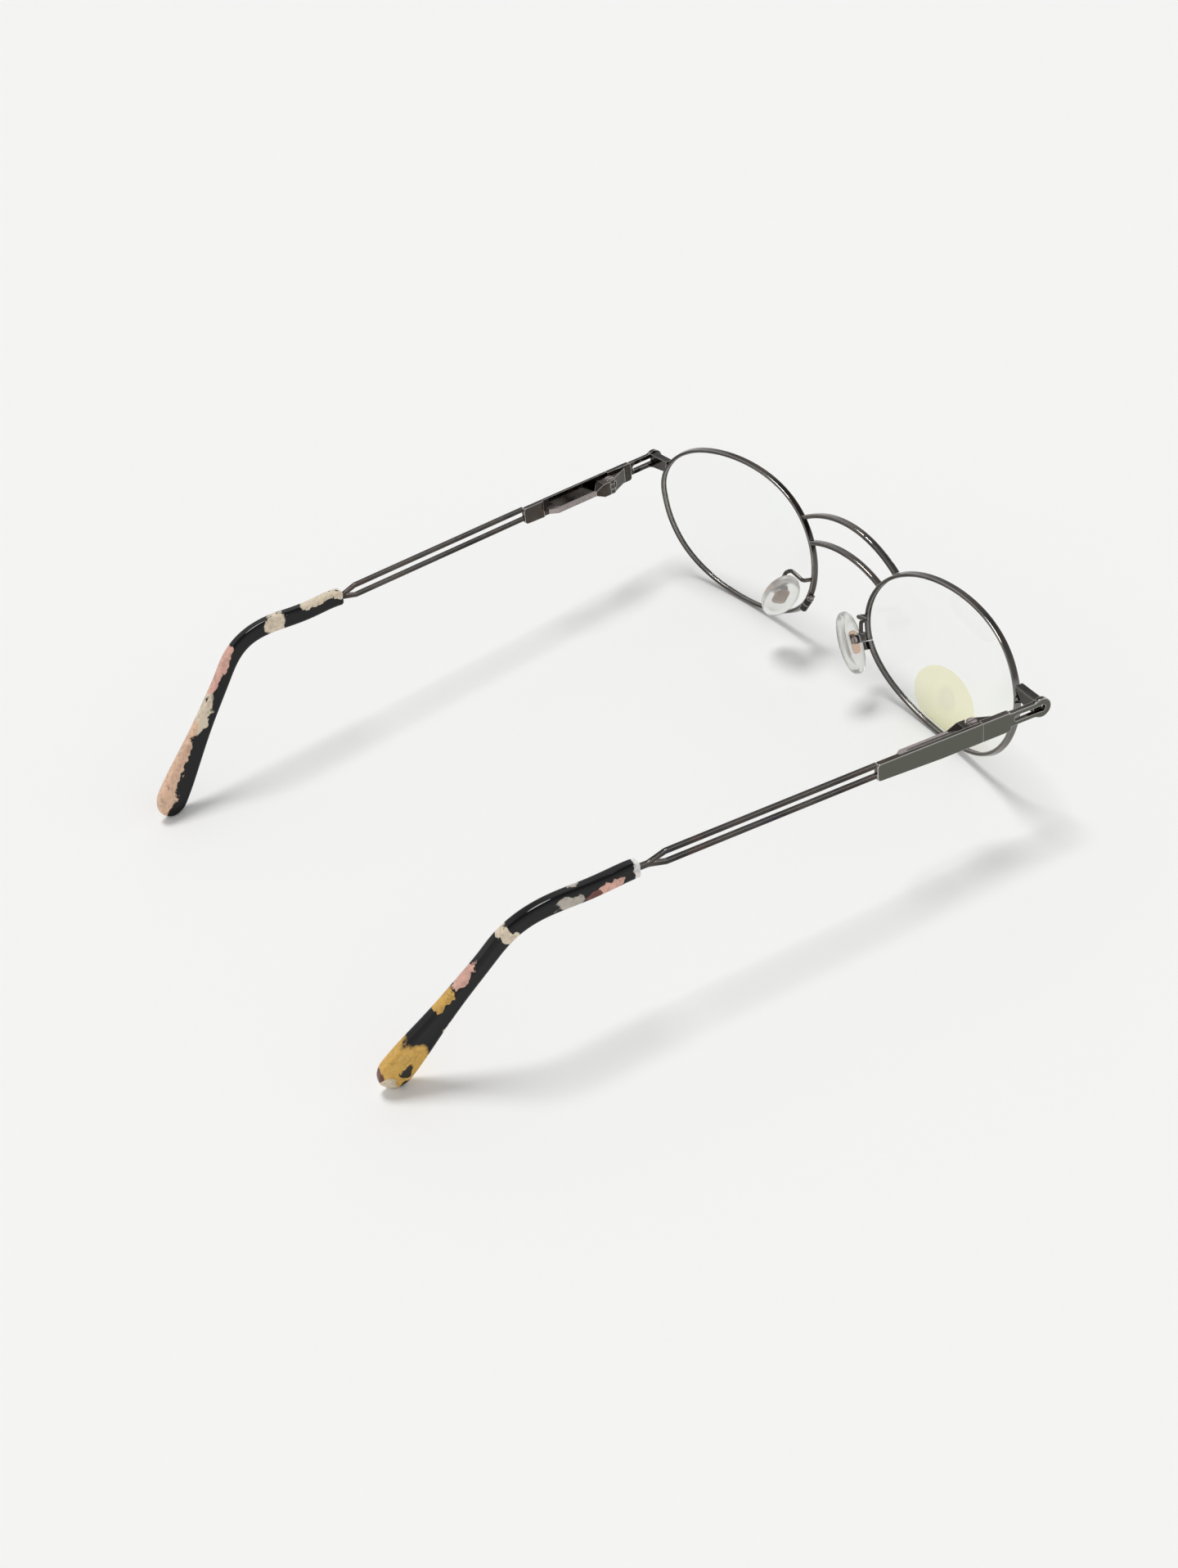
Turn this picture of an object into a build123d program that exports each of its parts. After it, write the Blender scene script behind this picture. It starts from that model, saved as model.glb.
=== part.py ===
from build123d import *
import math
import os

# Oval metal eyeglasses with a double bridge, leaf-spring hinges and tortoise tips.
# Millimetres and degrees. x runs to the wearer's left, y to the back, z up.
# The left half is built and mirrored. Temple places are (along, inward, up) from
# the top outer corner of the hinge seam; rim places are (temporal, up, forward)
# from the middle of the lens.

# Lenses and front
lens_width = 51.0
lens_height = 31.2
bridge_width = 19.0
lens_curve_radius = 81.1
front_tilt = 11.95
lens_wrap = 5.06
front_back_place = -1.18
front_height = 15.18

# Rims
rim_width = 0.76
rim_depth = 1.3
rim_edge_radius = 0.18
groove_width = 0.64
groove_depth = 0.36
oval_points = 18
# Waves on the oval: turns per lap, cosine share and sine share of its radius
oval_wave_shares = ((2, 0.0, 0.0242), (3, -0.0050, 0.0151), (4, -0.0135, 0.0081))

# Lenses
lens_thickness = 1.2
lens_tongue_thickness = 0.52
lens_edge_gap = 0.06
label_thickness = 0.08
label_width_share = 0.39
label_height_share = 0.42
label_out_share = -0.027
label_down_share = 0.305

# Double bridge
bar_depth = 1.5
bar_height = 0.98
bar_edge_radius = 0.3
upper_arch_radius = 30.5
upper_arch_top = 15.16
upper_arch_half_span = 19.0
upper_arch_forward = -0.97
lower_arch_radius = 32.0
lower_arch_top = 9.05
lower_arch_half_span = 14.0
lower_arch_forward = -1.57

# Rim closing blocks and their screws
closing_turn = 202.5
closing_slit = 0.12
closing_half_length = 1.8
closing_web_front = 0.45
closing_barrel_radius = 0.85
closing_barrel_out = 0.45
closing_barrel_behind = 1.0
closing_screw_radius = 0.34
closing_head_radius = 0.56
closing_head_sink = 0.3
closing_head_proud = 0.22
closing_slot_width = 0.2
closing_slot_depth = 0.16

# Nose pads: the pad's middle, its long axis and the way that it faces
pad_middle = (12.15, 7.6, 12.6)
pad_lean = 29.3
pad_tip_back = 7.0
pad_splay = 25.0
pad_length = 13.1
pad_width = 7.4
pad_thickness = 2.1
pad_edge_radius = 0.9
insert_length = 4.8
insert_width = 3.0
insert_thickness = 0.55
insert_lug_radius = 0.62
insert_lug_width = 1.2
pad_pivot_up = 0.6
pad_pivot_behind = 0.85
pad_lug_gap = 0.1
pad_box_cheek = 0.5
pad_box_half_height = 0.95
pad_box_front = 0.58
pad_box_back_gap = 0.16
pad_box_wall = 0.4
pad_screw_radius = 0.33
pad_screw_gap = 0.03
pad_head_radius = 0.72
pad_head_height = 0.34

# Pad arm: wire from the rim, up and over in a loop and down into the pad box
arm_wire_radius = 0.43
arm_loop_radius = 0.6
arm_joint = (9.6, 1.3, 15.0)
arm_elbow = (9.4, 3.5, 15.8)
arm_loop_top = (13.0, 3.75, 16.8)
arm_loop_back = (12.9, 5.2, 17.1)
arm_box_sink = 0.25

# How the temple runs, and where it starts from the rim's band at the lug
lug_turn = 23.0
seam_out = 5.863
seam_behind = 12.934
seam_above = 1.722
toe_in = 4.57
temple_rise = 2.46
seam_gap = 0.08

# Endpiece: a block at the seam and a hairpin of two bars with a round bulb
end_top = 0.2
end_bottom = -4.05
end_block_length = 6.4
end_block_thickness = 1.2
end_corner_radius = 0.7
hairpin_middle = -1.55
hairpin_height = 3.06
hairpin_bar_height = 0.92
hairpin_thickness = 0.95
hairpin_eye_radius = 0.74
bulb_radius = 2.05
bulb_neck_radius = 1.4
bulb_ahead = 0.75
end_edge_radius = 0.22
lug_thickness = 1.8
lug_ahead = 0.45
lug_top = 0.15
lug_rim_height = 2.7
lug_end_height = 3.3
lug_edge_radius = 0.2

# Hinge
pin_along = 0.6
pin_inward = 2.6
knuckle_radius = 1.15
knuckle_top = -0.35
knuckle_bottom = -3.75
knuckle_middle_height = 1.2
knuckle_gap = 0.05
hinge_wing_length = 4.6
hinge_swing_gap = 0.17
hinge_screw_radius = 0.5
hinge_screw_gap = 0.03
hinge_head_radius = 0.82
hinge_head_height = 0.5
hinge_head_proud = 0.1
hinge_slot_width = 0.22
hinge_slot_depth = 0.2
hinge_screw_tail = 0.12

# Hinge's moving block and the leaf spring that runs on from it
leaf_block_behind = 0.75
leaf_block_knee = 3.1
leaf_block_gap = 0.15
leaf_block_inset = 0.1
leaf_web_outer = 2.05
leaf_web_inner = 3.5
leaf_start = 5.4
leaf_middle = -1.97
leaf_height = 1.07
leaf_outer = 3.23
leaf_inner = 3.92
leaf_root_start = 15.2
leaf_root_end = 17.4
leaf_root_slope_along = 1.6
leaf_root_slope_inward = 1.19
leaf_bend_radius = 0.9

# Temple plate
plate_length = 22.9
plate_thickness = 0.75
plate_rear_height = 3.75
plate_block_length = 5.0
plate_block_thickness = 1.15
plate_corner_radius = 0.75
plate_edge_radius = 0.2
plate_groove = 0.35

# Temple fork: two bars that merge in a neck, and the core wire in the tip
fork_outer = 0.1
fork_thickness = 0.78
fork_height = 3.3
fork_bar_height = 1.05
fork_front_middle = -1.1
fork_rear_middle = -1.45
fork_merge_start = 66.5
fork_neck_start = 70.0
fork_neck_height = 1.2
fork_neck_end = 74.5
fork_neck_middle = -1.55
fork_slot_end = 68.5
fork_shoulder_radius = 2.2
fork_edge_radius = 0.17
core_wire_end_share = 0.7

# Temple tip
left_tip_start = 69.9
left_tip_bend = (94.18, -0.23, -0.96)
left_tip_end = (121.31, 5.87, -29.41)
right_tip_start = 71.9
right_tip_bend = (95.79, -0.36, -1.54)
right_tip_end = (123.35, 4.03, -29.46)
tip_bend_radius = 13.0
tip_waist_height = 3.15
tip_waist_thickness = 2.6
paddle_height = 6.3
paddle_thickness = 2.9
tip_corner_share = 0.3
tip_front_radius = 0.7
tip_cap_length = 4.0
tip_cap_turns = (0, 20, 40, 58, 72, 82)
# Along the tip from its front end: place and flare towards the paddle
tip_flare_shares = (
    (0.0, 0.04), (0.11, 0.1), (0.22, 0.11), (0.33, 0.06), (0.44, 0.01), (0.55, 0.0),
    (0.66, 0.1), (0.77, 0.32), (0.87, 0.68), (0.95, 0.94), (1.0, 1.0),
)

# Room that cutting solids take past what they cut
overrun = 2.0


# Shared shapes

def wave_place(turn):
    swell = 1 + sum(
        across * math.cos(laps * turn) + along * math.sin(laps * turn)
        for laps, across, along in oval_wave_shares
    )
    return swell * math.cos(turn), swell * math.sin(turn)


wave_lap = [wave_place(math.radians(step)) for step in range(360)]
wave_right, wave_left = max(p[0] for p in wave_lap), min(p[0] for p in wave_lap)
wave_top, wave_bottom = max(p[1] for p in wave_lap), min(p[1] for p in wave_lap)


def oval_place(degrees):
    across, up = wave_place(math.radians(degrees))
    across = (across - (wave_right + wave_left) / 2) / (wave_right - wave_left)
    up = (up - (wave_top + wave_bottom) / 2) / (wave_top - wave_bottom)
    return Vector(across * lens_width, up * lens_height)


def oval_outward(degrees):
    along = oval_place(degrees + 1) - oval_place(degrees - 1)
    return Vector(along.Y, -along.X).normalized()


# The oval at a height over the lens, on the lines that stand square on its curve
def oval_face(outset, height):
    places = []
    for step in range(oval_points):
        turn = 360 * step / oval_points
        place = oval_place(turn) + oval_outward(turn) * outset
        fall = math.sqrt(lens_curve_radius**2 - place.X**2 - place.Y**2)
        places.append(place * ((lens_curve_radius + height) / fall))
    return Pos(Z=height) * make_face(Spline(*places, periodic=True))


def oval_prism(outset):
    reach = lens_width / 3
    return loft([oval_face(outset, height) for height in (-reach, reach)], ruled=True)


# A slab between two spheres, centred on the lens's own curve
def curved_slab(forward, thickness):
    outer = Sphere(lens_curve_radius + forward + thickness / 2)
    inner = Sphere(lens_curve_radius + forward - thickness / 2)
    return Pos(Z=-lens_curve_radius) * Rot(X=90) * (outer - inner)


def lens_surface(across, up):
    fall = math.sqrt(lens_curve_radius**2 - across**2 - up**2)
    return Vector(across, up, fall - lens_curve_radius)


def block(low, high):
    size = Vector(*high) - Vector(*low)
    middle = (Vector(*high) + Vector(*low)) * 0.5
    return Pos(middle) * Box(size.X, size.Y, size.Z)


# A face drawn along and up, made solid from one inward place to another
def side_slab(face, near, far):
    return Pos(Y=far) * (Plane.XZ * extrude(face, amount=far - near))


# A face drawn along and inward, made solid between two heights
def flat_slab(face, low, high):
    return Pos(Z=low) * extrude(face, amount=high - low)


def polygon(*places):
    return make_face(Polyline(*places, close=True))


def rod(start, end, radius):
    way = Vector(*end) - Vector(*start)
    frame = Plane(origin=start, z_dir=way)
    return frame.location * extrude(Circle(radius), amount=way.length)


# Frames of the front, of the left lens and of the left temple

front_frame = Plane(
    origin=(0, front_back_place, front_height),
    x_dir=(1, 0, 0),
    z_dir=(0, -math.cos(math.radians(front_tilt)), -math.sin(math.radians(front_tilt))),
).location
eye_frame = front_frame * Pos(X=(lens_width + bridge_width) / 2) * Rot(Y=lens_wrap)

toe, rise = math.radians(toe_in), math.radians(temple_rise)
temple_rear = Vector(
    -math.sin(toe) * math.cos(rise), math.cos(toe) * math.cos(rise), math.sin(rise)
)
temple_up = Vector(
    math.sin(toe) * math.sin(rise), -math.cos(toe) * math.sin(rise), math.cos(rise)
)
rim_side = oval_place(lug_turn)
rim_joint = (eye_frame * Pos(lens_surface(rim_side.X, rim_side.Y))).position
temple_frame = Plane(
    origin=rim_joint + Vector(seam_out, seam_behind, seam_above),
    x_dir=temple_rear, z_dir=temple_up,
).location
joint_place = (temple_frame.inverse() * Pos(rim_joint)).position
lug_along = joint_place.X - lug_ahead
eye_along = joint_place.X - bulb_ahead

lean, tip_back, splay = (math.radians(v) for v in (pad_lean, pad_tip_back, pad_splay))
pad_up = Vector(
    -math.sin(lean), -math.cos(lean) * math.sin(tip_back), math.cos(lean) * math.cos(tip_back)
).normalized()
pad_rough_face = Vector(-math.cos(splay), math.sin(splay), 0)
pad_facing = (pad_rough_face - pad_up * pad_rough_face.dot(pad_up)).normalized()
pad_forward = pad_up.cross(pad_facing)
pad_frame = Plane(origin=pad_middle, x_dir=pad_forward, z_dir=pad_facing).location


# Rims and lenses

def rim_blank():
    band = (oval_prism(rim_width / 2) - oval_prism(-rim_width / 2)) & curved_slab(0, rim_depth)
    return band


# Out from the rim's band, along it and forward, level with the closing blocks' barrel
def closing_frame():
    place = oval_place(closing_turn)
    outward = oval_outward(closing_turn)
    behind = Vector(0, 0, closing_barrel_behind)
    return Plane(
        origin=lens_surface(place.X, place.Y) - behind, x_dir=outward, z_dir=(0, 0, 1)
    ).location


def rim():
    band = rim_blank()
    long_edges = [edge for edge in band.edges() if edge.length > lens_width]
    band = fillet(long_edges, rim_edge_radius)
    groove_reach = rim_width / 2 - groove_depth
    groove = oval_prism(-groove_reach) & curved_slab(0, groove_width)
    slit = closing_frame() * Pos(Z=closing_barrel_behind) * Box(
        4 * rim_width, closing_slit, 2 * rim_depth
    )
    return eye_frame * (band - groove - slit)


def lens():
    body = oval_prism(-rim_width / 2 - lens_edge_gap) & curved_slab(0, lens_thickness)
    tongue_reach = rim_width / 2 - groove_depth + lens_edge_gap
    tongue = oval_prism(-tongue_reach) & curved_slab(0, lens_tongue_thickness)
    return eye_frame * (body + tongue)


def lens_label():
    oval = Pos(label_out_share * lens_width, -label_down_share * lens_height) * Ellipse(
        label_width_share * lens_width / 2, label_height_share * lens_height / 2
    )
    prism = extrude(oval, amount=lens_width / 3, both=True)
    prism = prism & oval_prism(-rim_width / 2 - 4 * lens_edge_gap)
    skin = curved_slab((lens_thickness + label_thickness) / 2, label_thickness)
    return eye_frame * (prism & skin)


# Bridge

def arched_bar(radius, top, half_span, forward):
    swing = math.degrees(math.asin(half_span / radius))
    section = RectangleRounded(bar_height, bar_depth, bar_edge_radius)
    bar = revolve(Plane.XZ * Pos(X=radius) * section, Axis.Z, 2 * swing)
    bar = front_frame * Pos(Y=top - radius, Z=forward) * Rot(Z=90 - swing) * bar
    left = eye_frame * oval_prism(rim_width / 2)
    return bar - left - mirror(left, about=Plane.YZ)


# Rim closing blocks

closing_out = rim_width / 2 + closing_barrel_out


def closing_block(upper):
    side = -1 if upper else 1
    near, far = side * closing_slit / 2, side * closing_half_length
    low, high = min(near, far), max(near, far)
    web = block((0, low, 0), (closing_out, high, closing_barrel_behind + closing_web_front))
    barrel = rod((closing_out, low, 0), (closing_out, high, 0), closing_barrel_radius)
    hole = rod((closing_out, low - overrun, 0), (closing_out, high + overrun, 0),
               closing_screw_radius)
    half = closing_frame() * (web + barrel - hole)
    if upper:
        seat = rod((closing_out, far - overrun, 0), (closing_out, far + closing_head_sink, 0),
                   closing_head_radius)
        half = half - closing_frame() * seat
    return eye_frame * (half - oval_prism(rim_width / 2))


def closing_screw():
    seat = -closing_half_length + closing_head_sink
    crown = -closing_half_length - closing_head_proud
    head = rod((closing_out, crown, 0), (closing_out, seat, 0), closing_head_radius)
    slot = Pos(closing_out, crown, 0) * Box(
        closing_slot_width, 2 * closing_slot_depth, 4 * closing_head_radius
    )
    shank = rod((closing_out, seat, 0), (closing_out, closing_half_length, 0),
                closing_screw_radius)
    return eye_frame * closing_frame() * (head - slot + shank)


# Nose pads, in the pad's own frame: forward, up and towards the nose

pivot_up = pad_pivot_up
pivot_deep = -pad_thickness / 2 - pad_pivot_behind


def insert_plate(outset):
    return RectangleRounded(
        insert_width + 2 * outset, insert_length + 2 * outset, insert_width / 3
    )


def pad_insert():
    back = -pad_thickness / 2
    plate = Pos(Z=back) * extrude(insert_plate(0), amount=insert_thickness)
    half = insert_lug_width / 2
    web = block((-half, pivot_up - insert_lug_radius, pivot_deep),
                (half, pivot_up + insert_lug_radius, back))
    eye = rod((-half, pivot_up, pivot_deep), (half, pivot_up, pivot_deep), insert_lug_radius)
    hole = rod((-overrun, pivot_up, pivot_deep), (overrun, pivot_up, pivot_deep),
               pad_screw_radius + pad_screw_gap)
    return pad_frame * (plate + web + eye - hole)


def nose_pad():
    outline = Ellipse(pad_width / 2, pad_length / 2)
    pad = Pos(Z=-pad_thickness / 2) * extrude(outline, amount=pad_thickness)
    pad = fillet(pad.edges().filter_by(GeomType.ELLIPSE), pad_edge_radius)
    return pad_frame * pad - pad_insert()


def box_half_width():
    return insert_lug_width / 2 + pad_lug_gap + pad_box_cheek


def pad_box():
    half = box_half_width()
    inner = insert_lug_width / 2 + pad_lug_gap
    back = pivot_deep - insert_lug_radius - pad_box_back_gap
    shell = block(
        (-half, pivot_up - pad_box_half_height, back - pad_box_wall),
        (half, pivot_up + pad_box_half_height, pivot_deep + pad_box_front),
    )
    shell = fillet(shell.edges().filter_by(Axis.X), pad_box_wall)
    room = block(
        (-inner, pivot_up - overrun, back), (inner, pivot_up + overrun, pivot_deep + overrun)
    )
    hole = rod((-overrun, pivot_up, pivot_deep), (overrun, pivot_up, pivot_deep),
               pad_screw_radius)
    return pad_frame * (shell - room - hole)


def pad_screw():
    half = box_half_width()
    head = rod((-half - pad_head_height, pivot_up, pivot_deep),
               (-half, pivot_up, pivot_deep), pad_head_radius)
    slot = Pos(-half - pad_head_height, pivot_up, pivot_deep) * Box(
        pad_head_height, 4 * pad_head_radius, closing_slot_width
    )
    shank = rod((-half, pivot_up, pivot_deep), (half, pivot_up, pivot_deep), pad_screw_radius)
    return pad_frame * (head - slot + shank)


def pad_arm():
    back = pivot_deep - insert_lug_radius - pad_box_back_gap - pad_box_wall / 2
    seat = pad_frame * Pos(0, pivot_up + pad_box_half_height - arm_box_sink, back)
    route = FilletPolyline(
        arm_joint, arm_elbow, arm_loop_top, arm_loop_back, seat.position,
        radius=arm_loop_radius,
    )
    section = Plane(origin=route @ 0, z_dir=route % 0) * Circle(arm_wire_radius)
    wire = sweep(section, path=route)
    return wire - eye_frame * rim_blank() - pad_box()


# Endpiece and lug, in the temple's frame

def endpiece():
    straight = -eye_along
    bars = polygon(
        (-straight, hairpin_middle - hairpin_height / 2),
        (-end_block_length / 2, hairpin_middle - hairpin_height / 2),
        (-end_block_length / 2, hairpin_middle + hairpin_height / 2),
        (-straight, hairpin_middle + hairpin_height / 2),
    )
    loop = bars + Pos(-straight, hairpin_middle) * Circle(bulb_radius)
    waist = [
        v for v in loop.vertices()
        if -straight < v.X < -end_block_length and abs(v.Y - hairpin_middle) < bulb_radius
    ]
    loop = fillet(waist, bulb_neck_radius)
    slot_height = hairpin_height - 2 * hairpin_bar_height
    slot_end = -end_block_length - slot_height
    slot = polygon(
        (-straight, hairpin_middle - slot_height / 2),
        (slot_end, hairpin_middle - slot_height / 2),
        (slot_end, hairpin_middle + slot_height / 2),
        (-straight, hairpin_middle + slot_height / 2),
    ) + Pos(slot_end, hairpin_middle) * Circle(slot_height / 2)
    eye = Pos(-straight, hairpin_middle) * Circle(hairpin_eye_radius)
    hairpin = side_slab(loop - slot - eye, 0, hairpin_thickness)
    body = polygon(
        (-end_block_length, end_bottom), (0, end_bottom),
        (0, end_top), (-end_block_length, end_top),
    )
    body = fillet(body.vertices().sort_by(Axis.X)[:2], end_corner_radius)
    body = side_slab(body, 0, end_block_thickness)
    whole = hairpin + body
    outer = whole.faces().sort_by(Axis.Y)[0].outer_wire().edges()
    off_seam = [edge for edge in outer if edge.center().X < -end_edge_radius]
    return temple_frame * fillet(off_seam, end_edge_radius)


def lug():
    low = lug_top - lug_end_height
    inner_low = lug_top - lug_rim_height
    face = polygon(
        (hairpin_thickness, low), (joint_place.Y, inner_low),
        (joint_place.Y, lug_top), (hairpin_thickness, lug_top),
    )
    bar = Plane.YZ * extrude(face, amount=lug_thickness)
    bar = Pos(X=lug_along - lug_thickness / 2) * bar
    long_edges = [e for e in bar.edges() if abs(e.tangent_at(0.5).Y) > 0.9]
    bar = temple_frame * fillet(long_edges, lug_edge_radius)
    return bar - eye_frame * oval_prism(rim_width / 2)


# Hinge

def hinge_levels():
    middle = (knuckle_top + knuckle_bottom) / 2
    half = knuckle_middle_height / 2
    return middle - half, middle + half


def pin_rod(low, high, radius):
    return rod((pin_along, pin_inward, low), (pin_along, pin_inward, high), radius)


def hinge_head_seat():
    return knuckle_top + hinge_head_proud - hinge_head_height


def hinge_front():
    plan = polygon(
        (-hinge_wing_length, end_block_thickness), (0, end_block_thickness),
        (pin_along, pin_inward - knuckle_radius), (pin_along, pin_inward + knuckle_radius),
    ) + Pos(pin_along, pin_inward) * Circle(knuckle_radius)
    body = flat_slab(plan, knuckle_bottom, knuckle_top)
    low, high = hinge_levels()
    room = block(
        (pin_along - knuckle_radius - hinge_swing_gap, end_block_thickness - overrun,
         low - knuckle_gap),
        (pin_along + overrun, pin_inward + 2 * overrun, high + knuckle_gap),
    )
    hole = pin_rod(knuckle_bottom - overrun, knuckle_top + overrun, hinge_screw_radius)
    seat = pin_rod(hinge_head_seat(), knuckle_top + overrun, hinge_head_radius)
    return temple_frame * (body - room - hole - seat)


def hinge_screw():
    crown = knuckle_top + hinge_head_proud
    head = pin_rod(hinge_head_seat(), crown, hinge_head_radius)
    slot = Pos(pin_along, pin_inward, crown) * Box(
        4 * hinge_head_radius, hinge_slot_width, 2 * hinge_slot_depth
    )
    shank = pin_rod(knuckle_bottom - hinge_screw_tail, hinge_head_seat(), hinge_screw_radius)
    return temple_frame * (head - slot + shank)


def hinge_leaf():
    low, high = hinge_levels()
    knuckle = pin_rod(low, high, knuckle_radius)
    web = block((pin_along, leaf_web_outer, low), (leaf_block_knee, leaf_web_inner, high))
    start = pin_along + leaf_block_behind
    outer = plate_thickness + leaf_block_gap
    bottom, top = knuckle_bottom + leaf_block_inset, knuckle_top - leaf_block_inset
    half = leaf_height / 2
    plan = polygon(
        (start, outer), (leaf_block_knee, outer), (leaf_start, leaf_outer),
        (leaf_start, leaf_inner), (start, leaf_inner),
    )
    side = polygon(
        (start, bottom), (leaf_block_knee, bottom), (leaf_start, leaf_middle - half),
        (leaf_start, leaf_middle + half), (leaf_block_knee, top), (start, top),
    )
    wedge = flat_slab(plan, bottom, top) & side_slab(side, outer, leaf_inner)
    hollow = pin_rod(bottom - overrun, top + overrun, knuckle_radius + hinge_swing_gap)
    hole = pin_rod(low - overrun, high + overrun, hinge_screw_radius + hinge_screw_gap)
    return temple_frame * (wedge - hollow + knuckle + web - hole)


def leaf_spring():
    plan = polygon(
        (leaf_start, leaf_outer), (leaf_root_start, leaf_outer),
        (leaf_root_start, plate_thickness), (leaf_root_end, plate_thickness),
        (leaf_root_end, leaf_inner - leaf_root_slope_inward),
        (leaf_root_end - leaf_root_slope_along, leaf_inner), (leaf_start, leaf_inner),
    )
    bends = [
        v for v in plan.vertices()
        if v.X > leaf_start + leaf_bend_radius and v.Y > plate_thickness + leaf_bend_radius
    ]
    plan = fillet(bends, leaf_bend_radius)
    half = leaf_height / 2
    return temple_frame * flat_slab(plan, leaf_middle - half, leaf_middle + half)


# Temple plate, fork and tip

def temple_plate():
    knee = plate_length - plate_block_length
    outline = polygon(
        (seam_gap, end_bottom), (knee / 2, end_bottom),
        (plate_length, end_top - plate_rear_height),
        (plate_length, end_top), (seam_gap, end_top),
    )
    outline = fillet(outline.vertices().sort_by(Axis.X)[-2:], plate_corner_radius)
    plate = side_slab(outline, 0, plate_thickness)
    rear = side_slab(outline, 0, plate_block_thickness)
    keep = block(
        (leaf_root_end + plate_groove, -overrun, end_bottom - overrun),
        (plate_length + overrun, plate_block_thickness + overrun, end_top + overrun),
    )
    whole = plate + (rear & keep)
    outer = whole.faces().sort_by(Axis.Y)[0].outer_wire().edges()
    return temple_frame * fillet(outer, plate_edge_radius)


def fork_bars():
    half, gap = fork_height / 2, fork_height / 2 - fork_bar_height
    neck = fork_neck_height / 2
    outline = polygon(
        (plate_length, fork_front_middle - half), (fork_merge_start, fork_rear_middle - half),
        (fork_neck_start, fork_neck_middle - neck), (fork_neck_end, fork_neck_middle - neck),
        (fork_neck_end, fork_neck_middle + neck), (fork_neck_start, fork_neck_middle + neck),
        (fork_merge_start, fork_rear_middle + half), (plate_length, fork_front_middle + half),
    )
    shoulders = [
        v for v in outline.vertices()
        if plate_length + overrun < v.X < fork_neck_end - overrun
    ]
    outline = fillet(shoulders, fork_shoulder_radius)
    slot = polygon(
        (plate_length - overrun, fork_front_middle - gap), (fork_merge_start, fork_rear_middle - gap),
        (fork_slot_end, fork_rear_middle),
        (fork_merge_start, fork_rear_middle + gap), (plate_length - overrun, fork_front_middle + gap),
    )
    bars = side_slab(outline - slot, fork_outer, fork_outer + fork_thickness)
    long_edges = [e for e in bars.edges() if abs(e.tangent_at(0.5).Y) < 0.5 and e.length > overrun]
    return fillet(long_edges, fork_edge_radius)


def tip_route(start, bend, end):
    middle = fork_outer + fork_thickness / 2
    return FilletPolyline((start, middle, fork_neck_middle), bend, end, radius=tip_bend_radius)


def core_wire(bend, end):
    cut_back = Vector(*bend) + (Vector(*end) - Vector(*bend)) * core_wire_end_share
    route = tip_route(fork_neck_end, bend, cut_back)
    frame = Plane(origin=route @ 0, x_dir=(0, 1, 0), z_dir=route % 0)
    return sweep(frame * Rectangle(fork_thickness, fork_neck_height), path=route)


def temple_fork(bend, end):
    return temple_frame * (fork_bars() + core_wire(bend, end))


def tip_section(spot, way, flare, fullness):
    height = tip_waist_height + (paddle_height - tip_waist_height) * flare
    thickness = tip_waist_thickness + (paddle_thickness - tip_waist_thickness) * flare
    height, thickness = height * fullness, thickness * fullness
    inward = (Vector(0, 1, 0) - way * way.Y).normalized()
    frame = Plane(origin=spot, x_dir=inward, z_dir=way)
    return frame * RectangleRounded(thickness, height, thickness * tip_corner_share)


# The tip's body, and the round cap that closes its paddle
def temple_tip(start, bend, end, fork):
    reach = Vector(*end) - Vector(*bend)
    route = tip_route(start, bend, Vector(*end) - reach.normalized() * tip_cap_length)
    body = loft([
        tip_section(route @ place, route % place, flare, 1) for place, flare in tip_flare_shares
    ])
    front = body.faces().filter_by(GeomType.PLANE).sort_by(Axis.X)[0]
    body = fillet(front.edges(), tip_front_radius)
    stop, way = route @ 1, route % 1
    turns = [math.radians(turn) for turn in tip_cap_turns]
    cap = loft([
        tip_section(stop + way * tip_cap_length * math.sin(turn), way, 1, math.cos(turn))
        for turn in turns
    ])
    return temple_frame * (body + cap) - fork


# All pieces: the left ones, and those of the right mirrored from them

def matched_pieces():
    return {
        "rim": rim(), "lens": lens(),
        "closing_block_upper": closing_block(True),
        "closing_block_lower": closing_block(False),
        "closing_screw": closing_screw(),
        "pad_arm": pad_arm(), "pad_box": pad_box(), "pad_screw": pad_screw(),
        "pad_insert": pad_insert(), "nose_pad": nose_pad(),
        "lug": lug(), "endpiece": endpiece(),
        "hinge_front": hinge_front(), "hinge_screw": hinge_screw(),
        "hinge_leaf": hinge_leaf(), "leaf_spring": leaf_spring(),
        "temple_plate": temple_plate(),
    }


def fork_and_tip(start, bend, end):
    fork = temple_fork(bend, end)
    return {"temple_fork": fork, "temple_tip": temple_tip(start, bend, end, fork)}


def all_pieces():
    matched = matched_pieces()
    left = matched | fork_and_tip(left_tip_start, left_tip_bend, left_tip_end)
    right = matched | fork_and_tip(right_tip_start, right_tip_bend, right_tip_end)
    pieces = {"left_" + name: shape for name, shape in left.items()}
    for name, shape in right.items():
        pieces["right_" + name] = mirror(shape, about=Plane.YZ)
    pieces["bridge_upper"] = arched_bar(
        upper_arch_radius, upper_arch_top, upper_arch_half_span, upper_arch_forward
    )
    pieces["bridge_lower"] = arched_bar(
        lower_arch_radius, lower_arch_top, lower_arch_half_span, lower_arch_forward
    )
    pieces["right_lens_label"] = mirror(lens_label(), about=Plane.YZ)
    return pieces


# The origin is the middle of the foot of the box round all the pieces
def rest_shift(pieces):
    boxes = [shape.bounding_box() for shape in pieces.values()]
    front, back = min(b.min.Y for b in boxes), max(b.max.Y for b in boxes)
    return Vector(0, -(front + back) / 2, -min(b.min.Z for b in boxes))


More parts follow.
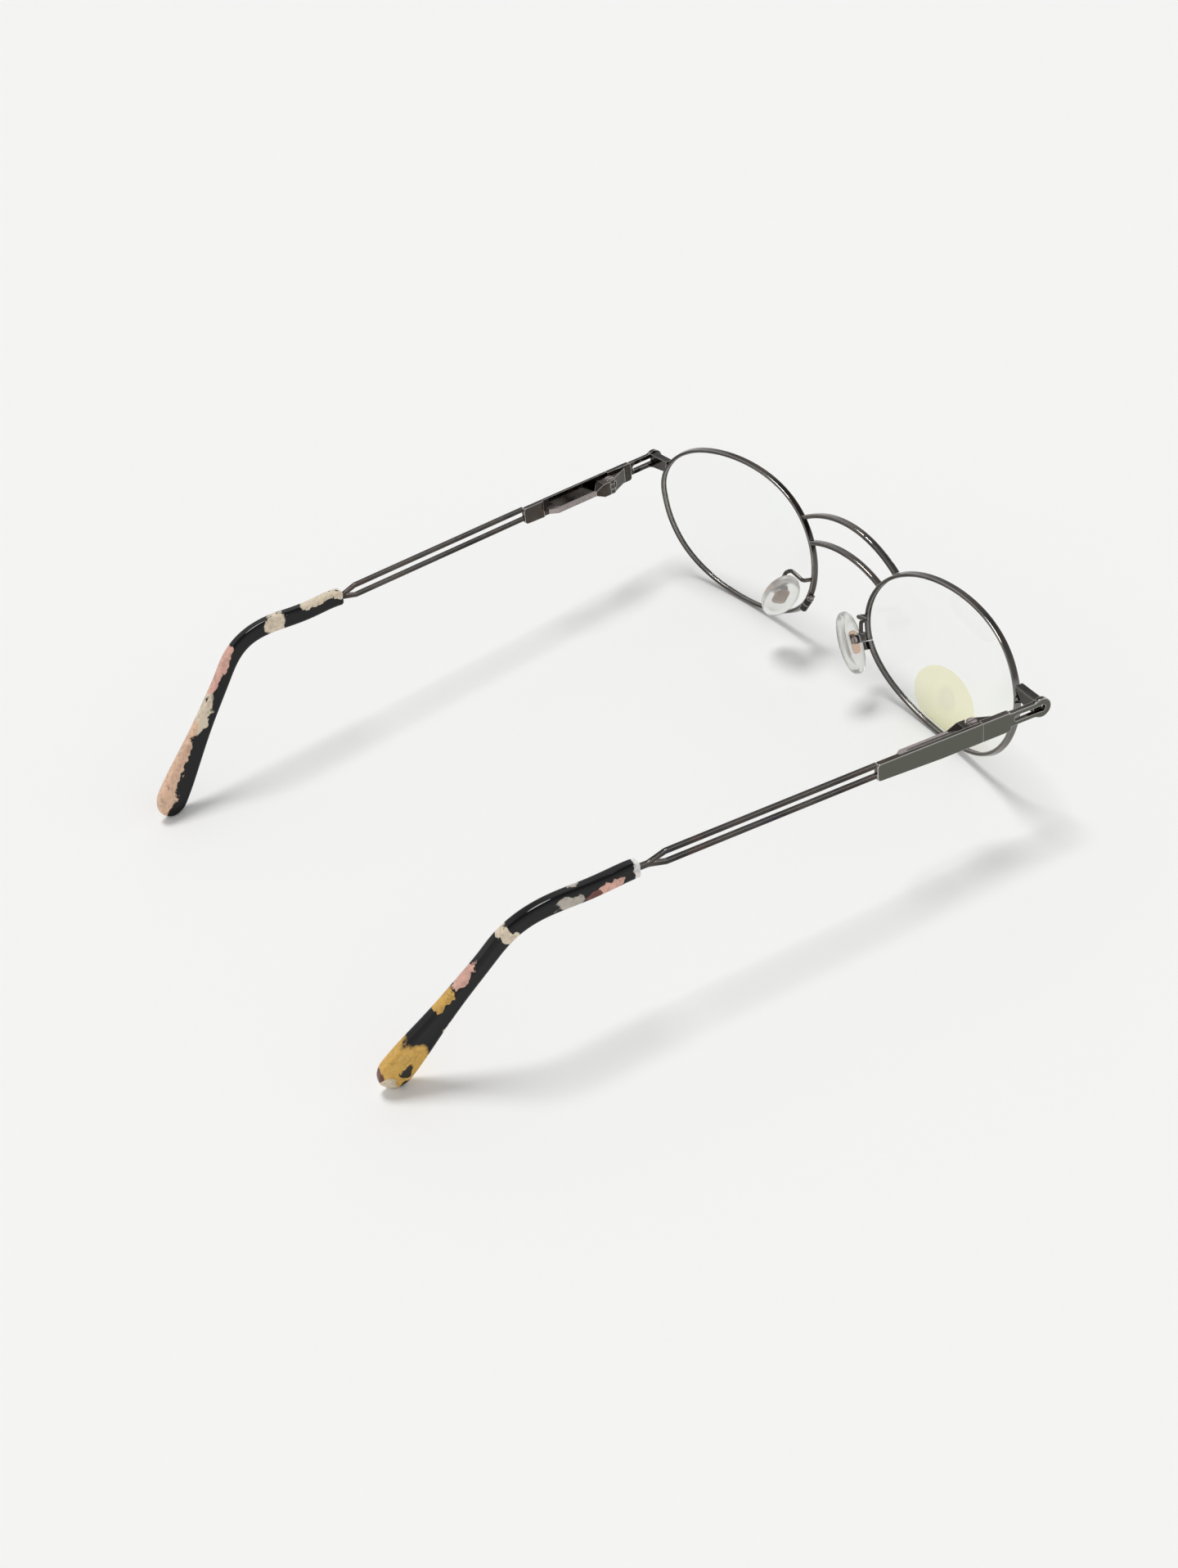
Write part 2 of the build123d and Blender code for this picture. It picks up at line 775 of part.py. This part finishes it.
def show_place(name, location, place, shift):
    spot = (location * Pos(*place)).position + shift
    print(name, [round(value, 3) for value in spot])


pieces = all_pieces()
shift = rest_shift(pieces)
os.makedirs("parts", exist_ok=True)
for name, shape in pieces.items():
    export_step(Pos(shift) * shape, "parts/" + name + ".step")

print("shift", [round(value, 3) for value in shift])
show_place("left hinge pin", temple_frame, (pin_along, pin_inward, leaf_middle), shift)
heel = (seam_gap + plate_edge_radius, plate_edge_radius, leaf_middle)
show_place("left flex heel", temple_frame, heel, shift)
show_place("left plate side", temple_frame, (plate_length / 2, 0, leaf_middle), shift)
show_place("left pad pivot", pad_frame, (0, pivot_up, pivot_deep), shift)
print("temple up", [round(value, 5) for value in temple_up])
print("temple rear", [round(value, 5) for value in temple_rear])
print("pad forward", [round(value, 5) for value in pad_forward])
for name in ("left_rim", "left_temple_tip", "right_temple_tip"):
    box = pieces[name].bounding_box()
    print(name, "low", round(box.min.Z + shift.Z, 3), "back", round(box.max.Y + shift.Y, 3))
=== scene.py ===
import bpy
import math
from mathutils import Matrix, Vector


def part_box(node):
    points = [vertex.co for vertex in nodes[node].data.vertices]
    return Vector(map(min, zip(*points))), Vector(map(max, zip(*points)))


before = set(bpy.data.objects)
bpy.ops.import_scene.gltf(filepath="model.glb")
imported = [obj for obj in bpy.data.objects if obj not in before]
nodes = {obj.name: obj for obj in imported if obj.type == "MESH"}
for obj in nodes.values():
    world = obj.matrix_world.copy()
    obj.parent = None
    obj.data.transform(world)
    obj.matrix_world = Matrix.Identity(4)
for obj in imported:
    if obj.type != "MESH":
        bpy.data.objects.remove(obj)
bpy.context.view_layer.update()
mm = 0.001
sides = {"left": 1, "right": -1}


# Camera, where the picture was taken from

camera = {
    "place": (-341.898 * mm, 167.8 * mm, 282.326 * mm),
    "view": (0.71934, -0.359168, -0.594599),
    "right": (-0.528192, -0.838745, -0.132357),
    "lens": 54.11,
    "sensor": 36,
    "nearest": 10 * mm,
}


def makeCamera():
    data = bpy.data.cameras.new("camera")
    data.lens = camera["lens"]
    data.sensor_width = camera["sensor"]
    data.clip_start = camera["nearest"]
    view, right = Vector(camera["view"]).normalized(), Vector(camera["right"]).normalized()
    up = right.cross(view).normalized()
    turn = Matrix((right, up, -view)).transposed()
    eye = bpy.data.objects.new("camera", data)
    eye.matrix_world = Matrix.Translation(camera["place"]) @ turn.to_4x4()
    bpy.context.scene.collection.objects.link(eye)
    bpy.context.scene.camera = eye
    bpy.context.scene.view_settings.view_transform = "Standard"
    print("camera set")


makeCamera()


# Shader maths as plain expressions

class Value:
    def __init__(self, tree, socket):
        self.tree, self.socket = tree, socket

    def math(self, operation, *others, clamp=False):
        node = self.tree.nodes.new("ShaderNodeMath")
        node.operation, node.use_clamp = operation, clamp
        for place, item in enumerate((self, *others)):
            plug(self.tree, item, node.inputs[place])
        return Value(self.tree, node.outputs[0])

    def __add__(self, other): return self.math("ADD", other)
    def __radd__(self, other): return self.math("ADD", other)
    def __sub__(self, other): return self.math("SUBTRACT", other)
    def __rsub__(self, other): return (self * -1) + other
    def __mul__(self, other): return self.math("MULTIPLY", other)
    def __rmul__(self, other): return self.math("MULTIPLY", other)
    def __truediv__(self, other): return self.math("DIVIDE", other)
    def __rtruediv__(self, other): return self.math("POWER", -1) * other
    def __pow__(self, other): return self.math("POWER", other)
    def __abs__(self): return self.math("ABSOLUTE")
    def most(self, other): return self.math("MAXIMUM", other)
    def held(self): return self.math("ADD", 0, clamp=True)

    # From 0 at the start up to 1, or from 1 down to 0 at the stop, as steep as the gain
    def rise(self, start, gain): return ((self - start) * gain).held()
    def fall(self, stop, gain): return ((stop - self) * gain).held()


def plug(tree, item, socket):
    if isinstance(item, Value):
        tree.links.new(item.socket, socket)
    elif item is not None:
        if isinstance(item, (tuple, list)) and len(item) == 3 and len(socket.default_value) == 4:
            item = (*item, 1)
        socket.default_value = item


class Finish:
    def __init__(self, name, tree=None):
        if tree is None:
            self.material = bpy.data.materials.new(name)
            self.material.use_nodes = True
            tree = self.material.node_tree
        self.tree = tree
        self.tree.nodes.clear()
        self.place = self.node("TexCoord").Object

    def node(self, kind, settings=None, **sockets):
        node = self.tree.nodes.new("ShaderNode" + kind)
        for key, item in (settings or {}).items():
            if key == "stops":
                self.setStops(node.color_ramp, item)
            else:
                setattr(node, key, item)
        for key, item in sockets.items():
            plug(self.tree, item, self.socket(node, key))
        return Outputs(self.tree, node)

    def socket(self, node, key):
        if key[0] == "i" and key[1:].isdigit():
            return node.inputs[int(key[1:])]
        return node.inputs[key.replace("_", " ")]

    def setStops(self, ramp, stops):
        while len(ramp.elements) < len(stops):
            ramp.elements.new(0.5)
        for element, (spot, colour) in zip(ramp.elements, stops):
            element.position, element.color = spot, (*colour, 1)

    def mix(self, share, one, two):
        node = self.tree.nodes.new("ShaderNodeMix")
        node.data_type = "RGBA"
        for item, spot in ((share, 0), (one, 6), (two, 7)):
            plug(self.tree, item, node.inputs[spot])
        return Value(self.tree, node.outputs[2])

    def noise(self, size, detail=2, **more):
        return self.node(
            "TexNoise", Vector=self.place, Scale=1 / size, Detail=detail, **more
        ).Factor

    def vector(self, operation, one, **more):
        return self.node("VectorMath", {"operation": operation}, i0=one, **more)

    def dot(self, place, way):
        return self.vector("DOT_PRODUCT", place, i1=way).Value

    def bump(self, height, strength, distance, normal=None):
        return self.node(
            "Bump", Height=height, Strength=strength, Distance=distance, Normal=normal
        ).Normal

    def shader(self, **sockets):
        return self.node("BsdfPrincipled", **sockets).BSDF

    def finish(self, surface):
        self.node("OutputMaterial", Surface=surface)
        return self.material


class Outputs:
    def __init__(self, tree, node):
        self.tree, self.made = tree, node

    def __getattr__(self, key):
        names = {"Factor": ("Fac", "Factor")}.get(key, (key.replace("_", " "),))
        for name in names:
            if name in self.made.outputs:
                return Value(self.tree, self.made.outputs[name])
        raise AttributeError(key)


# Where the temples run, in mm, for finishes laid along them. A bend and an end are given along
# the temple from its seam, inwards, and upwards.

temple = {
    "seam": (64.99, -51.957, 25.038),
    "rear": (-0.0796, 0.9959, 0.04292),
    "up": (0.00342, -0.04279, 0.99908),
    "left": {"bend": (94.18, -0.23, -0.96), "end": (121.31, 5.87, -29.41)},
    "right": {"bend": (95.79, -0.36, -1.54), "end": (123.35, 4.03, -29.46)},
}


def templeAxes(side):
    flip = sides[side]
    seam, rear, up = (Vector(temple[key]) for key in ("seam", "rear", "up"))
    inward = up.cross(rear)
    spots = []
    for key in ("bend", "end"):
        along, across, high = temple[side][key]
        spots.append(seam + rear * along + inward * across + up * high)
    bend, end = spots
    drop = (end - bend).normalized()
    above = drop.cross(inward).normalized()
    if above.z < 0:
        above = -above
    across = above.cross(drop)
    turned = [Vector((item.x * flip, item.y, item.z)) for item in
              (seam, rear, up, inward, bend, drop, above, across)]
    names = ("seam", "rear", "up", "inward", "bend", "drop", "above", "across")
    return dict(zip(names, turned))


# Finishes. A pair named From or To is where a mask starts or stops, and how steep it is.

gunmetal = {
    "dark": (0.035, 0.032, 0.03), "light": (0.095, 0.086, 0.076), "lightFrom": (0.35, 3),
    "warm": (0.1, 0.062, 0.05), "warmFrom": (0.52, 4), "warmShare": 0.7,
    "cool": (0.055, 0.052, 0.08), "coolTo": (0.42, 4), "coolShare": 0.6,
    "cloud": 9 * mm, "cloudDetail": 3,
    "tint": 5.4 * mm, "tintDistortion": 0.6,
    "grain": 0.35 * mm, "grainDetail": 3, "rough": 0.05, "roughMore": 0.09,
    "olive": (0.115, 0.12, 0.1), "oliveRough": 0.3, "oliveFrom": (0.93, 25), "sideGain": 1000,
    # Painted highlight along edges: its pale colour, how far it reaches, how steep and how
    # strong it is
    "wearAndPaintedHighlight": (0.62, 0.6, 0.57), "paintedHighlightReach": 0.22 * mm, "paintedHighlightGain": 24, "paintedHighlightShare": 0.85,
    "paintedHighlightSamples": 6,
    # Painted highlight on slanted faces of flat pieces
    "paintedSlantHighlightTo": (0.96, 12), "paintedSlantHighlightShare": 0.9,
    # Painted highlight on the rounded shoulders of bands: the way they face, where it starts and
    # stops, and its share
    "bandWay": (0, -0.978, -0.207), "bandFrom": (0.2, 8), "bandTo": (0.93, 8),
    "shoulderHighlightShare": 0.26,
    "edge": 0.09 * mm, "edgeSamples": 4,
    "ripple": 0.6 * mm, "rippleDetail": 1, "rippleStrength": 0.05, "rippleHeight": 0.05 * mm,
}


# The same metal on round, banded and flat pieces, with a painted highlight: paler along their
# edges. Bands have a painted highlight on their rounded shoulders too. Flat pieces have a
# painted highlight on slanted faces, and have a dull olive lacquer on their outer ones.
def gunmetalFinish(kind):
    finish = Finish(kind + "Gunmetal")
    facing = finish.node("NewGeometry").Normal
    cloud = finish.noise(gunmetal["cloud"], gunmetal["cloudDetail"])
    tint = finish.noise(gunmetal["tint"], Distortion=gunmetal["tintDistortion"])
    colour = finish.mix(
        cloud.rise(*gunmetal["lightFrom"]), gunmetal["dark"], gunmetal["light"]
    )
    colour = finish.mix(
        tint.rise(*gunmetal["warmFrom"]) * gunmetal["warmShare"], colour, gunmetal["warm"]
    )
    colour = finish.mix(
        tint.fall(*gunmetal["coolTo"]) * gunmetal["coolShare"], colour, gunmetal["cool"]
    )
    grain = finish.noise(gunmetal["grain"], gunmetal["grainDetail"])
    rough = gunmetal["rough"] + grain * gunmetal["roughMore"]
    if kind == "flat":
        sideways = finish.dot(facing, (1, 0, 0))
        place = finish.dot(finish.place, (1, 0, 0))
        onLeft = (place * gunmetal["sideGain"]).held()
        onRight = (place * -gunmetal["sideGain"]).held()
        outwards = sideways * onLeft - sideways * onRight
        lacquer = outwards.rise(*gunmetal["oliveFrom"])
        colour = finish.mix(lacquer, colour, gunmetal["olive"])
        rough = rough + lacquer * (gunmetal["oliveRough"] - gunmetal["rough"])
    # Painted highlight: a paler colour along edges, where the bevelled normal turns away from
    # the surface's own
    smoothed = finish.node(
        "Bevel", {"samples": gunmetal["paintedHighlightSamples"]}, Radius=gunmetal["paintedHighlightReach"]
    ).Normal
    sharp = 1 - finish.dot(smoothed, facing)
    colour = finish.mix(
        (sharp * gunmetal["paintedHighlightGain"]).held() * gunmetal["paintedHighlightShare"], colour, gunmetal["wearAndPaintedHighlight"]
    )
    if kind == "flat":
        # Painted highlight: a paler colour on faces slanted between the main directions
        square = [abs(finish.dot(facing, way)) for way in ((1, 0, 0), (0, 1, 0), (0, 0, 1))]
        paintedSlantHighlight = square[0].most(square[1]).most(square[2]).fall(*gunmetal["paintedSlantHighlightTo"])
        colour = finish.mix(paintedSlantHighlight * gunmetal["paintedSlantHighlightShare"], colour, gunmetal["wearAndPaintedHighlight"])
    if kind == "band":
        # Painted highlight: a paler colour on the rounded shoulders of bands
        away = abs(finish.dot(facing, gunmetal["bandWay"]))
        paintedShoulderHighlight = away.rise(*gunmetal["bandFrom"]) * away.fall(*gunmetal["bandTo"])
        colour = finish.mix(paintedShoulderHighlight * gunmetal["shoulderHighlightShare"], colour, gunmetal["wearAndPaintedHighlight"])
    edge = finish.node(
        "Bevel", {"samples": gunmetal["edgeSamples"]}, Radius=gunmetal["edge"]
    ).Normal
    ripple = finish.noise(gunmetal["ripple"], gunmetal["rippleDetail"])
    normal = finish.bump(ripple, gunmetal["rippleStrength"], gunmetal["rippleHeight"], edge)
    return finish.finish(finish.shader(
        Base_Color=colour, Metallic=1.0, Roughness=rough, Normal=normal
    ))


steel = {
    "colour": (0.42, 0.37, 0.36), "wearAndPaintedHighlight": (0.2, 0.17, 0.16),
    "beige": (0.66, 0.47, 0.36), "tan": (0.5, 0.33, 0.24),
    "turn": 0.25 * mm, "turnDetail": 3, "dullFrom": (0.4, 2),
    "rough": 0.16, "roughMore": 0.2, "markStrength": 0.12, "markHeight": 0.03 * mm,
}


def steelFinish(name="screwSteel", bright="colour", dull="wearAndPaintedHighlight"):
    finish = Finish(name)
    mark = finish.noise(steel["turn"], steel["turnDetail"])
    colour = finish.mix(mark.rise(*steel["dullFrom"]), steel[bright], steel[dull])
    rough = steel["rough"] + mark * steel["roughMore"]
    normal = finish.bump(mark, steel["markStrength"], steel["markHeight"])
    return finish.finish(finish.shader(
        Base_Color=colour, Metallic=1.0, Roughness=rough, Normal=normal
    ))


glass = {
    "clear": (0.992, 0.996, 0.991), "index": 1.5, "glossShare": 0.8,
    "rose": (1.0, 0.9, 0.93), "green": (0.93, 1.0, 0.86), "greenFrom": (0.4, 4),
    "smear": 14 * mm, "smearDetail": 4, "smearDistortion": 0.4,
    "rough": 0.01, "roughFrom": (0.62, 0.12),
}


# Clear, with a faintly tinted gloss on its outer faces. It bends nothing that is behind it.
def lensFinish():
    finish = Finish("lens")
    smear = finish.noise(
        glass["smear"], glass["smearDetail"], Distortion=glass["smearDistortion"]
    )
    tint = finish.mix(smear.rise(*glass["greenFrom"]), glass["rose"], glass["green"])
    rough = smear.rise(*glass["roughFrom"]) + glass["rough"]
    gloss = finish.shader(Base_Color=tint, Metallic=1.0, Roughness=rough)
    clear = finish.node("BsdfTransparent", Color=glass["clear"]).BSDF
    front = 1 - finish.node("NewGeometry").Backfacing
    share = finish.node("Fresnel", IOR=glass["index"]).Factor * front * glass["glossShare"]
    return finish.finish(finish.node("MixShader", i0=share, i1=clear, i2=gloss).Shader)


pad = {
    "colour": (0.93, 0.93, 0.9), "light": (0.99, 0.99, 0.97), "index": 1.43, "through": 0.85,
    "cloud": 3 * mm, "cloudDetail": 3, "rough": 0.12, "roughMore": 0.12,
    "bumpStrength": 0.06, "bumpHeight": 0.1 * mm,
}


def padFinish():
    finish = Finish("clearPad")
    cloud = finish.noise(pad["cloud"], pad["cloudDetail"])
    colour = finish.mix(cloud, pad["colour"], pad["light"])
    rough = pad["rough"] + cloud * pad["roughMore"]
    normal = finish.bump(cloud, pad["bumpStrength"], pad["bumpHeight"])
    return finish.finish(finish.shader(
        Base_Color=colour, Roughness=rough, IOR=pad["index"],
        Transmission_Weight=pad["through"], Normal=normal,
    ))


acetate = {
    "black": (0.003, 0.003, 0.004), "cream": (0.84, 0.73, 0.56), "amber": (0.78, 0.47, 0.1),
    "brown": (0.17, 0.06, 0.045), "pink": (0.72, 0.42, 0.34), "grey": (0.55, 0.5, 0.43),
    "clear": (0.88, 0.87, 0.84), "peach": (0.88, 0.6, 0.42), "smoke": (0.03, 0.028, 0.02),
    "cloudy": ("clear", "cream", "amber", "peach", "grey"),
    "waver": 2.2 * mm, "waverDetail": 3, "wander": 3.3 * mm, "edge": 5.0,
    "streak": 1.4 * mm, "streakDetail": 4, "streakDistortion": 1.2,
    "streakFrom": (0.45, 4), "streakShare": 0.6, "streakShade": 0.5,
    "rough": 0.09, "gloss": 0.3, "index": 1.49, "through": 0.15, "milk": 0.3,
    "milkReach": 1.0 * mm,
}
# Blotches along each tip, in mm: distance past the seam or the bend, height, inward place,
# half length, half height, half depth, and colour
blotches = {
    "right": (
        ("straight", 72.2, -1.4, 0.4, 1.6, 3.0, 3.0, "clear"),
        ("straight", 78.3, -2.0, 0.0, 3.6, 1.5, 3.0, "pink"),
        ("straight", 81.6, -2.4, 0.0, 1.6, 1.0, 3.0, "brown"),
        ("straight", 86.3, -1.7, 0.3, 3.6, 1.8, 3.0, "grey"),
        ("straight", 88.6, -1.6, 0.3, 1.2, 0.8, 3.0, "black"),
        ("bent", 3.4, -0.3, 0.0, 1.5, 2.6, 3.0, "cream"),
        ("bent", 13.6, 1.8, 0.0, 3.2, 0.7, 3.0, "pink"),
        ("bent", 19.6, 1.9, 0.0, 3.0, 1.0, 3.0, "amber"),
        ("bent", 23.8, -2.5, 0.0, 2.2, 0.9, 3.0, "cream"),
        ("bent", 34.6, 0.0, 0.0, 6.6, 5.0, 4.0, "amber"),
        ("bent", 38.6, 0.4, 0.0, 2.4, 1.8, 4.0, "cream"),
        ("bent", 34.4, -1.0, 0.0, 1.8, 0.9, 4.0, "smoke"),
        ("bent", 38.6, 2.7, 0.0, 2.2, 0.8, 4.0, "brown"),
        ("bent", 37.0, -2.5, 0.0, 2.2, 0.8, 4.0, "smoke"),
    ),
    "left": (
        ("straight", 70.5, -0.4, 0.4, 1.4, 1.2, 3.0, "cream"),
        ("straight", 75.0, 0.2, 0.4, 5.0, 0.7, 3.0, "cream"),
        ("straight", 86.3, -1.2, 0.3, 2.6, 2.6, 3.0, "cream"),
        ("bent", 8.0, 1.7, 0.0, 6.5, 1.1, 3.0, "pink"),
        ("bent", 18.0, 1.3, 0.0, 5.0, 1.5, 3.0, "cream"),
        ("bent", 28.5, 2.4, 0.0, 9.5, 1.6, 3.0, "peach"),
        ("bent", 37.0, 1.9, 0.0, 4.9, 2.3, 3.0, "peach"),
    ),
}


# Black acetate with soft-edged blotches of the other colours. Pale ones let some light in.
def tipFinish(side):
    finish = Finish(side + "Tortoise")
    axes = templeAxes(side)
    warp = finish.node(
        "TexNoise", Vector=finish.place, Scale=1 / acetate["waver"],
        Detail=acetate["waverDetail"],
    ).Color
    warp = finish.vector("SUBTRACT", warp, i1=(0.5, 0.5, 0.5)).Vector
    warp = finish.vector("SCALE", warp, Scale=acetate["wander"]).Vector
    spot = finish.vector("ADD", finish.place, i1=warp).Vector

    def measure(origin, way):
        return finish.dot(spot, tuple(way)) - way.dot(origin)

    runs = {
        "straight": [measure(axes["seam"] * mm, axes[key]) for key in ("rear", "up", "inward")],
        "bent": [measure(axes["bend"] * mm, axes[key]) for key in ("drop", "above", "across")],
    }
    colour = acetate["black"]
    cover = None
    streak = finish.noise(
        acetate["streak"], acetate["streakDetail"], Distortion=acetate["streakDistortion"]
    )
    for run, *measures, name in blotches[side]:
        middles, halves = measures[:3], measures[3:]
        far = 0
        for item, middle, half in zip(runs[run], middles, halves):
            far = ((item - middle * mm) / (half * mm)) ** 2 + far
        mask = ((1 - far) * acetate["edge"]).held()
        shade = finish.mix(
            streak.rise(*acetate["streakFrom"]) * acetate["streakShare"], acetate[name],
            tuple(part * acetate["streakShade"] for part in acetate[name]),
        )
        colour = finish.mix(mask, colour, shade)
        if name in acetate["cloudy"]:
            cover = mask if cover is None else cover.most(mask)
        else:
            cover = cover * (1 - mask)
    solid = finish.shader(
        Base_Color=colour, Roughness=acetate["rough"], Specular_IOR_Level=acetate["gloss"]
    )
    cloudy = finish.shader(
        Base_Color=colour, Roughness=acetate["rough"], IOR=acetate["index"],
        Transmission_Weight=acetate["through"], Subsurface_Weight=acetate["milk"],
        Subsurface_Scale=acetate["milkReach"],
    )
    both = finish.node("MixShader", i0=cover, i1=solid, i2=cloudy).Shader
    return finish.finish(both)


film = {
    "clear": (0.99, 0.98, 0.87), "tint": (0.86, 0.82, 0.52), "pale": (0.8, 0.82, 0.62),
    "paleFrom": (0.4, 4), "sheen": 2.2 * mm, "sheenDistortion": 0.8,
    "middle": (0.83, 0.79, 0.78), "middleShare": 0.8, "disc": 3.4 * mm, "discEdge": 2.5,
    "rough": 0.3, "share": 0.1, "discShare": 0.12,
}


# A thin see-through film with a denser disc in its middle
def filmFinish():
    finish = Finish("filmLabel")
    low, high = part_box("right_lens_label")
    offset = finish.vector("DISTANCE", finish.place, i1=tuple((low + high) / 2)).Value
    disc = ((1 - offset / film["disc"]) * film["discEdge"]).held()
    sheen = finish.noise(film["sheen"], Distortion=film["sheenDistortion"])
    edge = finish.mix(sheen.rise(*film["paleFrom"]), film["tint"], film["pale"])
    colour = finish.mix(disc * film["middleShare"], edge, film["middle"])
    sheet = finish.shader(Base_Color=colour, Roughness=film["rough"])
    thin = finish.node("BsdfTransparent", Color=film["clear"]).BSDF
    share = film["share"] + disc * film["discShare"]
    return finish.finish(finish.node("MixShader", i0=share, i1=thin, i2=sheet).Shader)


def dress(node, material):
    mesh = nodes[node].data
    mesh.materials.clear()
    mesh.materials.append(material)


pieces = {
    "round": ("lug", "hinge_front", "hinge_leaf", "pad_arm", "pad_box", "temple_fork",
              "closing_block_upper", "closing_block_lower"),
    "band": ("rim",),
    "flat": ("endpiece", "temple_plate"),
    "steel": ("closing_screw", "pad_screw", "hinge_screw", "leaf_spring"),
    "insert": ("pad_insert",),
    "lens": ("lens",),
    "pad": ("nose_pad",),
}


def dressAll():
    made = {kind: gunmetalFinish(kind) for kind in ("round", "band", "flat")}
    made["steel"], made["insert"] = steelFinish(), steelFinish("padInsert", "beige", "tan")
    made["lens"], made["pad"] = lensFinish(), padFinish()
    for side in sides:
        for kind, names in pieces.items():
            for name in names:
                dress(side + "_" + name, made[kind])
        dress(side + "_temple_tip", tipFinish(side))
    dress("bridge_upper", made["band"])
    dress("bridge_lower", made["band"])
    dress("right_lens_label", filmFinish())
    print("finishes laid on", len(nodes), "nodes")


dressAll()


# Floor, lamps and world

studio = {
    "floor": 6.0, "floorColour": (0.9, 0.9, 0.893), "floorRough": 0.7, "floorGloss": 0.1,
    "sunWay": (-0.42, 0.12, -1.0), "sunPower": 1.58, "sunSpread": 21,
    # Light from the sky, which low down is the pale backdrop too: height and strength
    "sky": (
        (0.0, 0.895), (0.33, 0.895), (0.42, 0.65), (0.5, 0.8), (0.62, 0.8), (0.75, 0.31),
        (1.0, 0.31),
    ),
}


def makeFloor():
    half = studio["floor"] / 2
    mesh = bpy.data.meshes.new("floor")
    corners = [(-half, -half, 0), (half, -half, 0), (half, half, 0), (-half, half, 0)]
    mesh.from_pydata(corners, [], [(0, 1, 2, 3)])
    floor = bpy.data.objects.new("floor", mesh)
    bpy.context.scene.collection.objects.link(floor)
    finish = Finish("paleFloor")
    mesh.materials.append(finish.finish(finish.shader(
        Base_Color=studio["floorColour"], Roughness=studio["floorRough"],
        Specular_IOR_Level=studio["floorGloss"],
    )))


def makeWorld():
    world = bpy.data.worlds.new("studio")
    world.use_nodes = True
    bpy.context.scene.world = world
    sky = Finish("skyNodes", world.node_tree)
    height = sky.dot(sky.node("TexCoord").Generated, (0, 0, 1))
    stops = [(spot, (share,) * 3) for spot, share in studio["sky"]]
    shade = sky.node("ValToRGB", {"stops": stops}, Fac=height).Color
    light = sky.node("Background", Color=shade).Background
    sky.node("OutputWorld", Surface=light)


def makeSun():
    data = bpy.data.lights.new("sun", "SUN")
    data.energy, data.angle = studio["sunPower"], math.radians(studio["sunSpread"])
    sun = bpy.data.objects.new("sun", data)
    sun.rotation_euler = Vector(studio["sunWay"]).to_track_quat("-Z", "Y").to_euler()
    bpy.context.scene.collection.objects.link(sun)


makeFloor()
makeWorld()
makeSun()
print("floor, sky and sun set")
